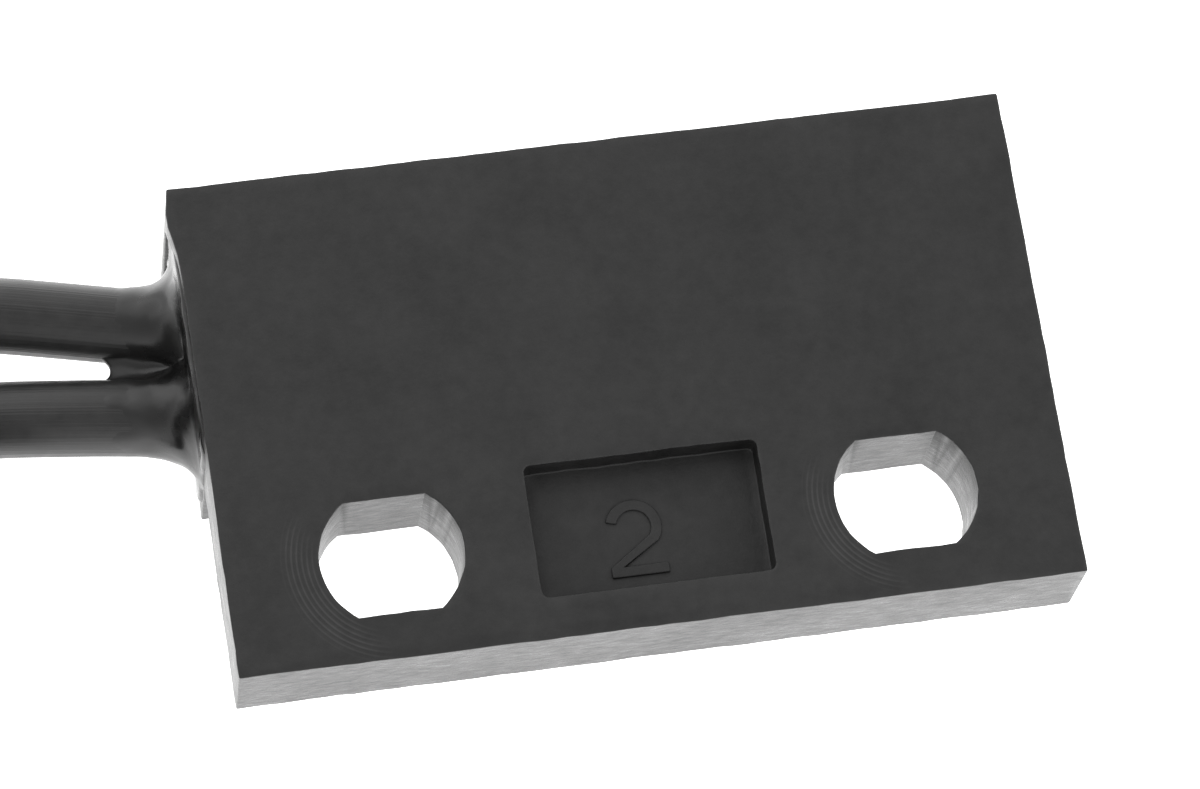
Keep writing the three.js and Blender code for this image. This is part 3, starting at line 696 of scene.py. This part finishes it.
def roughen_moulding(mesh):
    """The slight unevenness of a small moulding: edges that waver, sides that aren't quite flat."""
    for vertex in mesh.vertices:
        point = vertex.co / MM
        fine = noise.noise_vector(point * 2.9)
        broad = noise.noise_vector(point * 0.7)
        shift = fine * WAVER_FINE + broad * WAVER_BROAD
        shift.z *= 0.25
        # The corner over the leads is pushed out a little.
        corner = Vector((point.x - END_X, point.y - SHELL_HIGH.y + CORNER_INSET, 0)).length
        shift.x -= CORNER_BULGE * math.exp(-((corner / CORNER_SPREAD) ** 2))
        vertex.co += shift * MM
        # Nothing may reach below the plane that the shell rests on.
        vertex.co.z = max(vertex.co.z, 0.0)


def smooth_by_weight(thing):
    thing.data.polygons.foreach_set("use_smooth", [True] * len(thing.data.polygons))
    thing.modifiers.new("normals", "WEIGHTED_NORMAL").keep_sharp = True
    apply_modifiers(thing)


def ease_edges(thing, radius, segments=2):
    bevel = thing.modifiers.new("bevel", "BEVEL")
    bevel.width, bevel.segments, bevel.limit_method = radius * MM, segments, "ANGLE"
    bevel.angle_limit, bevel.use_clamp_overlap = math.radians(40), False
    apply_modifiers(thing)


def make_number():
    """The raised cavity number 2 on the recess floor: a bowl, a diagonal and a foot."""
    bowl, stroke = DIGIT["bowl"], DIGIT["stroke"]
    middle = DIGIT["height"] - stroke / 2 - bowl
    outer = arc(0, middle, bowl + stroke / 2, 165, -35, 20)
    inner = arc(0, middle, bowl - stroke / 2, -35, 165, 20)
    foot_left, foot_right = -0.78, 0.8
    foot = [(foot_left + 0.42, stroke), (foot_right, stroke), (foot_right, 0), (foot_left, 0)]
    outline = outer + foot + [(foot_left, stroke)] + inner
    outline = [(x + DIGIT["x"], y + DIGIT["y"]) for x, y in outline]
    floor = SHELL_HEIGHT - RECESS["depth"]
    number = prism("cavity_number", outline[::-1], floor - 0.1, floor + DIGIT["raised"])
    ease_edges(number, 0.04)
    smooth_by_weight(number)
    finish_piece(number, MATERIALS["shell_plastic"])


def make_housing():
    """The moulded shell: an L-shaped bar with its cavity, recess and slots, all edges eased."""
    ends = (SHELL_LOW.x, SHELL_HIGH.x)
    section = [(SHELL_LOW.y, FLANGE_UNDER), (BODY_FRONT_Y, FLANGE_UNDER), (BODY_FRONT_Y, 0)]
    section += [(SHELL_HIGH.y, 0), (SHELL_HIGH.y, SHELL_HEIGHT), (SHELL_LOW.y, SHELL_HEIGHT)]
    shell = prism("housing_moulding", section, *ends, axis="X")
    low, high = BODY_FRONT_Y + WALL_SIDE, SHELL_HIGH.y - WALL_SIDE
    cavity = rounded_rectangle(low, WALL_FACE, high, SHELL_HEIGHT - WALL_FACE, 0.4)
    boolean(shell, prism("cavity", cavity, END_X - 1, SHELL_HIGH.x - WALL_END, axis="X"))
    half, y = RECESS["length"] / 2, RECESS["y"]
    outline = rounded_rectangle(-half, y, half, y + RECESS["width"], RECESS["corner"])
    boolean(shell, prism("recess", outline, SHELL_HEIGHT - RECESS["depth"], SHELL_HEIGHT + 1))
    for side in (-1, 1):
        outline = slot_outline(side * SLOT["pitch"] / 2, SLOT["y"])
        boolean(shell, prism("slot", outline, 0, SHELL_HEIGHT + 1))
    ease_edges(shell, EDGE_RADIUS)
    cut_into_cells(shell.data, MOULDING_CELL)
    roughen_moulding(shell.data)
    smooth_by_weight(shell)
    finish_piece(shell, MATERIALS["shell_plastic"], replaces=["housing"])


# ---------------------------------------------------------------- the potting compound


def sleeve(name, route):
    """The compound that climbs one lead: wide at the shell, thinning out along the jacket."""
    path = dense_curve(route[:5], 0.08)
    path = np.vstack([path[0] + (ROOT, 0, 0), path])
    points, faces, sides = [], [], 48
    for i, p in enumerate(path):
        reach = max(0.0, END_X - p[0])
        for k in range(sides):
            a = 2 * math.pi * k / sides
            lumpy = noise.noise(Vector((math.cos(a) * 1.4, math.sin(a) * 1.4, reach * 1.3 + route[0][1])))
            flare = FLARE * math.exp(-reach / FLARE_LENGTH) * (1 + 0.12 * lumpy)
            film = SKIN * (1 - reach / (CLIMB + 0.25 * lumpy))
            r = LEAD_RADIUS + flare + max(film, -0.09)
            points.append((p[0], p[1] + r * math.cos(a), p[2] + r * math.sin(a)))
        if reach > CLIMB + 0.7:
            break
    rows = len(points) // sides
    for i in range(rows - 1):
        for k in range(sides):
            a, b = i * sides + k, i * sides + (k + 1) % sides
            faces.append((a, b, b + sides, a + sides))
    faces.append(tuple(range(sides))[::-1])
    faces.append(tuple(range((rows - 1) * sides, rows * sides)))
    return new_object(name, mesh_from(name, points, faces))


def web():
    """The compound that bridges the gap between the two leads: a trough with a hollow end."""
    rows, columns = 30, 20
    middle_gap = (ROUTES["lead_1"][1][1] - ROUTES["lead_2"][1][1]) / 2 - LEAD_RADIUS
    sheets = []
    for side in (-1, 1):
        sheet = []
        for i in range(rows + 1):
            for j in range(columns + 1):
                across = 2 * j / columns - 1
                near = min(1.0, abs(across) * (middle_gap + LEAD_RADIUS) / (middle_gap + 0.12))
                reach = -ROOT + (WEB_REACH + 0.4 * near**2.5 + ROOT) * i / rows
                x = END_X - reach
                low, high = route_y(ROUTES["lead_2"], x), route_y(ROUTES["lead_1"], x)
                share = max(0.0, reach) / WEB_REACH
                half = (0.42 + 0.38 * near**2) * (1 - 0.7 * min(1.0, share))
                half += 0.5 * math.exp(-max(0.0, reach) / 0.3)
                sheet.append((x, (low + high) / 2 + across * (high - low) / 2, AXIS_HEIGHT + side * half))
        sheets.append(sheet)
    size, width = (rows + 1) * (columns + 1), columns + 1
    faces = []
    for i in range(rows):
        for j in range(columns):
            a = i * width + j
            faces.append((a, a + width, a + width + 1, a + 1))
            faces.append((size + a, size + a + 1, size + a + width + 1, size + a + width))
    rim = list(range(columns)) + [i * width + columns for i in range(rows)]
    rim += [rows * width + j for j in range(columns, 0, -1)] + [i * width for i in range(rows, 0, -1)]
    for a, b in zip(rim, rim[1:] + rim[:1]):
        faces.append((a, b, size + b, size + a))
    return new_object("web", mesh_from("web", sheets[0] + sheets[1], faces))


def route_y(route, x):
    xs = [-p[0] for p in route]
    return float(np.interp(-x, xs, [p[1] for p in route]))


def end_film():
    """The compound over the shell's open end, bulging out a little past its rim."""
    low, high = BODY_FRONT_Y + 0.12, SHELL_HIGH.y - 0.5
    outline = rounded_rectangle(low, 0.45, high, SHELL_HEIGHT - 0.45, 0.9, 8)
    film = prism("film", outline, END_X - FILM, END_X + ROOT, axis="X")
    ease_edges(film, 0.12, 3)
    return film


def joined(name, parts):
    """One object from several, whose meshes may overlap."""
    work = bmesh.new()
    for part in parts:
        work.from_mesh(part.data)
        bpy.data.objects.remove(part)
    mesh = bpy.data.meshes.new(name)
    work.to_mesh(mesh)
    work.free()
    return new_object(name, mesh)


def make_potting():
    """The resin: a fill that is cast round everything inside, and a soft skin where it wets
    the leads and the rim."""
    skin = joined("potting", [sleeve(name, route) for name, route in ROUTES.items()] + [web(), end_film()])
    remesh = skin.modifiers.new("remesh", "REMESH")
    remesh.mode, remesh.voxel_size = "VOXEL", VOXEL * MM
    relax = skin.modifiers.new("relax", "SMOOTH")
    relax.factor, relax.iterations = 0.5, RELAX_STEPS
    apply_modifiers(skin)
    for vertex in skin.data.vertices:
        point = vertex.co / MM
        if point.x < END_X:
            vertex.co += noise.noise_vector(point * 1.7) * 0.035 * MM
    fill = new_object("fill", frame["nodes"]["potting_compound"].data.copy())
    keep = prism("keep", [(-10, -10), (20, -10), (20, 20), (-10, 20)], END_X + 0.2, 20, axis="X")
    boolean(fill, keep, "INTERSECT")
    boolean(skin, fill, "UNION")
    skin.data.polygons.foreach_set("use_smooth", [True] * len(skin.data.polygons))
    finish_piece(skin, MATERIALS["potting_resin"], replaces=["potting_compound"])


make_housing()
make_number()
make_potting()

# ---------------------------------------------------------------- finish

for entry in frame["record"]["subparts"]:
    node = frame["nodes"][entry["node"]]
    node.data.materials.clear()
    node.data.materials.append(MATERIALS[entry["material_slot"]])
